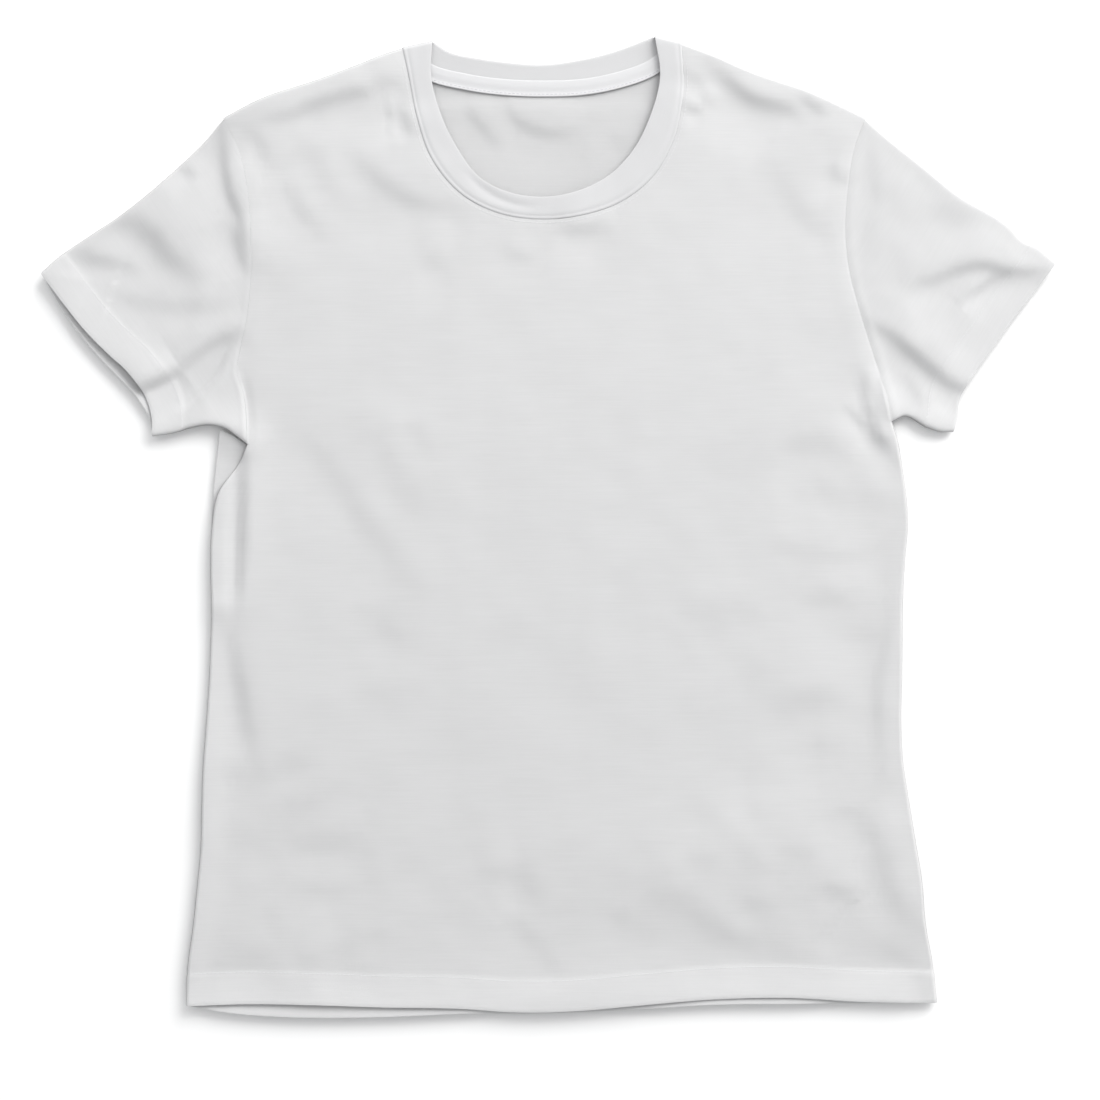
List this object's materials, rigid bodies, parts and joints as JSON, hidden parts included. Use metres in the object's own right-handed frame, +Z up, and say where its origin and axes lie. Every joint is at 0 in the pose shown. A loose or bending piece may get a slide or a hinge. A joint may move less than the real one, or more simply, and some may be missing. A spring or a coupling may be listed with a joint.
{
  "type": "crew neck t-shirt",
  "caption": "Short-sleeved white crew neck t-shirt with a rib neck band, laid flat on its back, front side up.",
  "frame": {"origin": "on the surface the shirt lies on, under the middle of its outline", "axes": "+Z up from the surface, +Y from the hem towards the neck, +X towards the wearer's left sleeve, which is on the right as seen from above"},
  "size_m": [0.674, 0.6524, 0.0066],
  "materials": {
    "jersey": "matte",
    "rib": "matte",
    "tape": "matte"
  },
  "bodies": {
    "root": {"back_panel": "jersey", "front_panel": "jersey", "sleeve_left": "jersey", "sleeve_right": "jersey", "neck_band": "rib", "neck_tape": "tape"}
  },
  "joints": []
}
